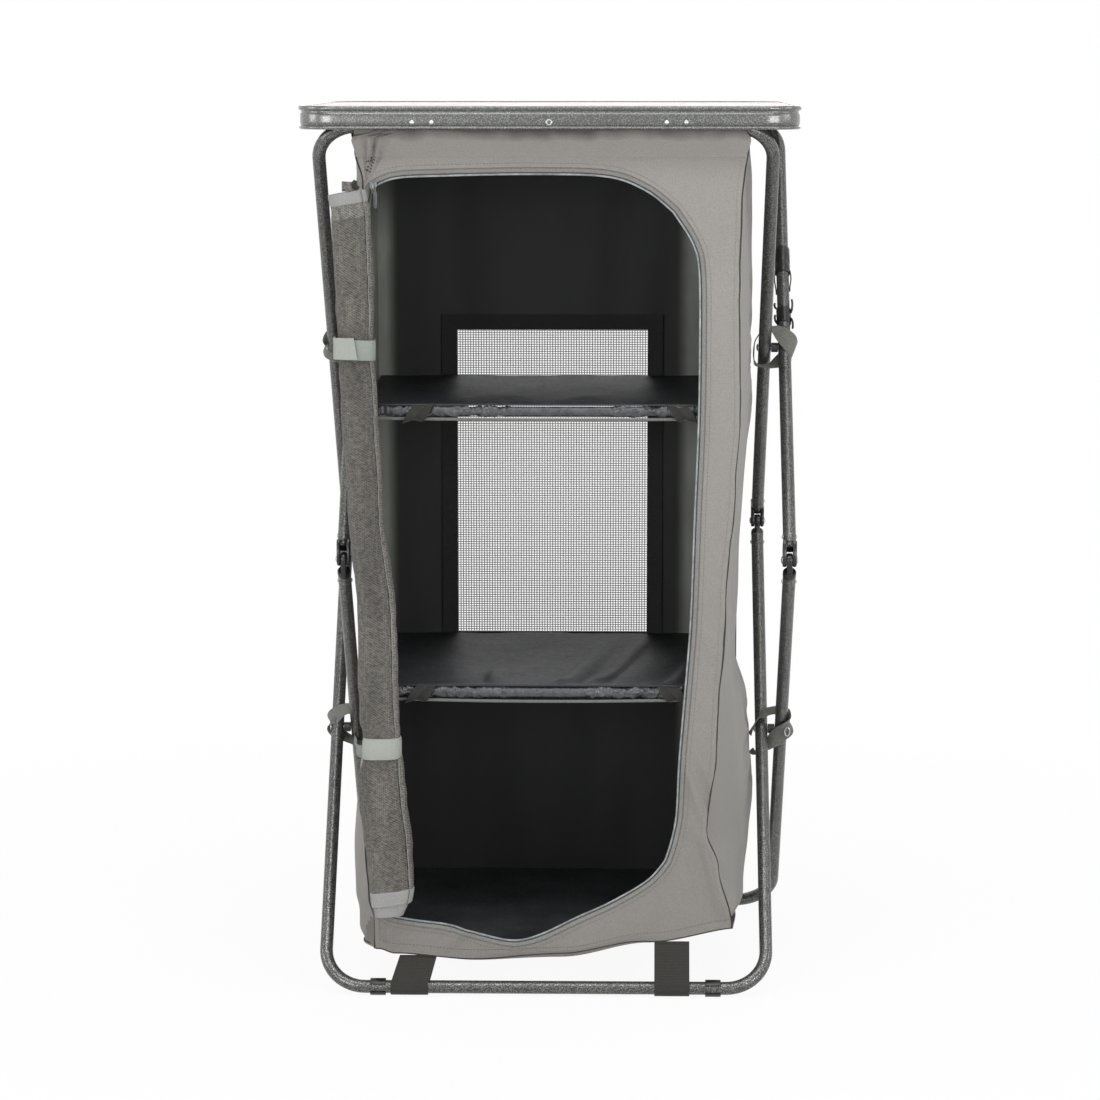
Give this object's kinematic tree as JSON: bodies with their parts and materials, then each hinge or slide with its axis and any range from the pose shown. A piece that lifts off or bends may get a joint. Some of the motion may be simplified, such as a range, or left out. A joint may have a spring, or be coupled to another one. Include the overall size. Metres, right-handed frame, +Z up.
{
  "type": "folding camping storage cupboard",
  "caption": "Folding camp cupboard: crossed tube frame under a rimmed tabletop, holding a zip-front fabric larder with sling shelves and a mesh window.",
  "frame": {"origin": "middle of the footprint, on the floor under the glides", "axes": "+X to the viewer's right when facing the door, +Y to the back, +Z up"},
  "size_m": [0.6042, 0.5, 1.0868],
  "materials": {
    "tube": "hammered dark grey enamel on steel tube",
    "rim": "hammered dark grey-green enamel on rolled metal",
    "board": "pale laminated board, satin",
    "elbow": "black moulded plastic, smooth",
    "plastic": "black moulded plastic, fine grain",
    "steel": "bright plated steel",
    "polyester": "warm grey coated polyester, plain weave",
    "lining": "near-black coated inner face",
    "net": "grey open mesh with a black webbing edge",
    "shelf": "dark slate coated cloth, slightly glossy",
    "webbing": "black polypropylene webbing",
    "tie": "pale sage grey webbing",
    "knit": "dark grey-brown knitted mesh"
  },
  "bodies": {
    "cupboard": {"cupboard_front": "polyester", "cupboard_left_side": "polyester", "cupboard_right_side": "polyester", "cupboard_back": "polyester", "cupboard_roof": "polyester", "cupboard_floor": "lining", "window_net": "net", "lower_shelf": "shelf", "upper_shelf": "shelf", "lower_shelf_band": "webbing", "upper_shelf_band": "webbing", "rolled_door": "knit", "upper_door_tie": "tie", "lower_door_tie": "tie", "front_floor_strap_left": "webbing", "front_floor_strap_right": "webbing", "rear_floor_strap_left": "webbing", "rear_floor_strap_right": "webbing", "zip_slider": "steel"},
    "lower_front": {"lower_front_hoop": "tube", "rear_elbow_tongue_left": "elbow", "rear_elbow_tongue_right": "elbow", "rear_elbow_pin_left": "steel", "rear_elbow_pin_right": "steel", "lower_pivot_rivet_left": "steel", "lower_pivot_rivet_right": "steel", "lower_pivot_spacer_left": "plastic", "lower_pivot_spacer_right": "plastic", "front_glide_left": "plastic", "front_glide_right": "plastic", "lower_right_pivot_loop": "tie", "lower_left_pivot_loop": "tie"},
    "lower_rear": {"lower_rear_hoop": "tube", "front_elbow_tongue_left": "elbow", "front_elbow_tongue_right": "elbow", "rear_glide_left": "plastic", "rear_glide_right": "plastic"},
    "upper_front": {"upper_front_hoop": "tube", "rear_elbow_fork_left": "elbow", "rear_elbow_fork_right": "elbow", "upper_pivot_rivet_left": "steel", "upper_pivot_rivet_right": "steel", "upper_pivot_spacer_left": "plastic", "upper_pivot_spacer_right": "plastic", "upper_right_pivot_loop": "tie"},
    "upper_rear": {"upper_rear_hoop": "tube", "front_elbow_fork_left": "elbow", "front_elbow_fork_right": "elbow", "front_elbow_pin_left": "steel", "front_elbow_pin_right": "steel", "upper_keeper_clip": "plastic", "lower_keeper_clip": "plastic"},
    "tabletop": {"tabletop_board": "board", "tabletop_rim": "rim", "front_bar_clip_left": "plastic", "front_bar_clip_right": "plastic", "rear_bar_clip_left": "plastic", "rear_bar_clip_right": "plastic", "rim_eyelet": "steel"},
    "puller": {"zip_puller": "steel"}
  },
  "joints": [
    {"name": "frame_fold", "type": "hinge", "parent": "cupboard", "child": "lower_front", "pos_m": [0, -0.2246, 0.0105], "axis": [-1, 0, 0], "range_deg": [0, 50], "deforming": ["cupboard_front", "cupboard_left_side", "cupboard_right_side", "cupboard_back", "cupboard_roof", "cupboard_floor", "window_net", "lower_shelf", "upper_shelf", "lower_shelf_band", "upper_shelf_band", "rolled_door", "upper_door_tie", "lower_door_tie", "front_floor_strap_left", "front_floor_strap_right", "rear_floor_strap_left", "rear_floor_strap_right", "zip_slider", "zip_puller", "upper_right_pivot_loop", "lower_right_pivot_loop", "lower_left_pivot_loop"]},
    {"name": "lower_pivot", "type": "hinge", "parent": "lower_front", "child": "lower_rear", "pos_m": [0, 0, 0.29185], "axis": [1, 0, 0], "range_deg": [0, 100]},
    {"name": "rear_elbow", "type": "hinge", "parent": "lower_front", "child": "upper_front", "pos_m": [0, 0.18224, 0.53664], "axis": [1, 0, 0], "range_deg": [0, 100]},
    {"name": "upper_pivot", "type": "hinge", "parent": "upper_front", "child": "upper_rear", "pos_m": [0, 0, 0.78143], "axis": [-1, 0, 0], "range_deg": [0, 100]},
    {"name": "tabletop_tilt", "type": "hinge", "parent": "upper_front", "child": "tabletop", "pos_m": [0, -0.2246, 1.06278], "axis": [1, 0, 0], "range_deg": [0, 90]},
    {"name": "zip_pull_swing", "type": "hinge", "parent": "cupboard", "child": "puller", "pos_m": [-0.2106, -0.2171, 0.99], "axis": [-1, 0, 0], "range_deg": [0, 150]}
  ],
  "couplings": [
    {"joint": "lower_pivot", "follows": "frame_fold", "ratio": 2},
    {"joint": "rear_elbow", "follows": "frame_fold", "ratio": 2},
    {"joint": "upper_pivot", "follows": "frame_fold", "ratio": 2}
  ]
}
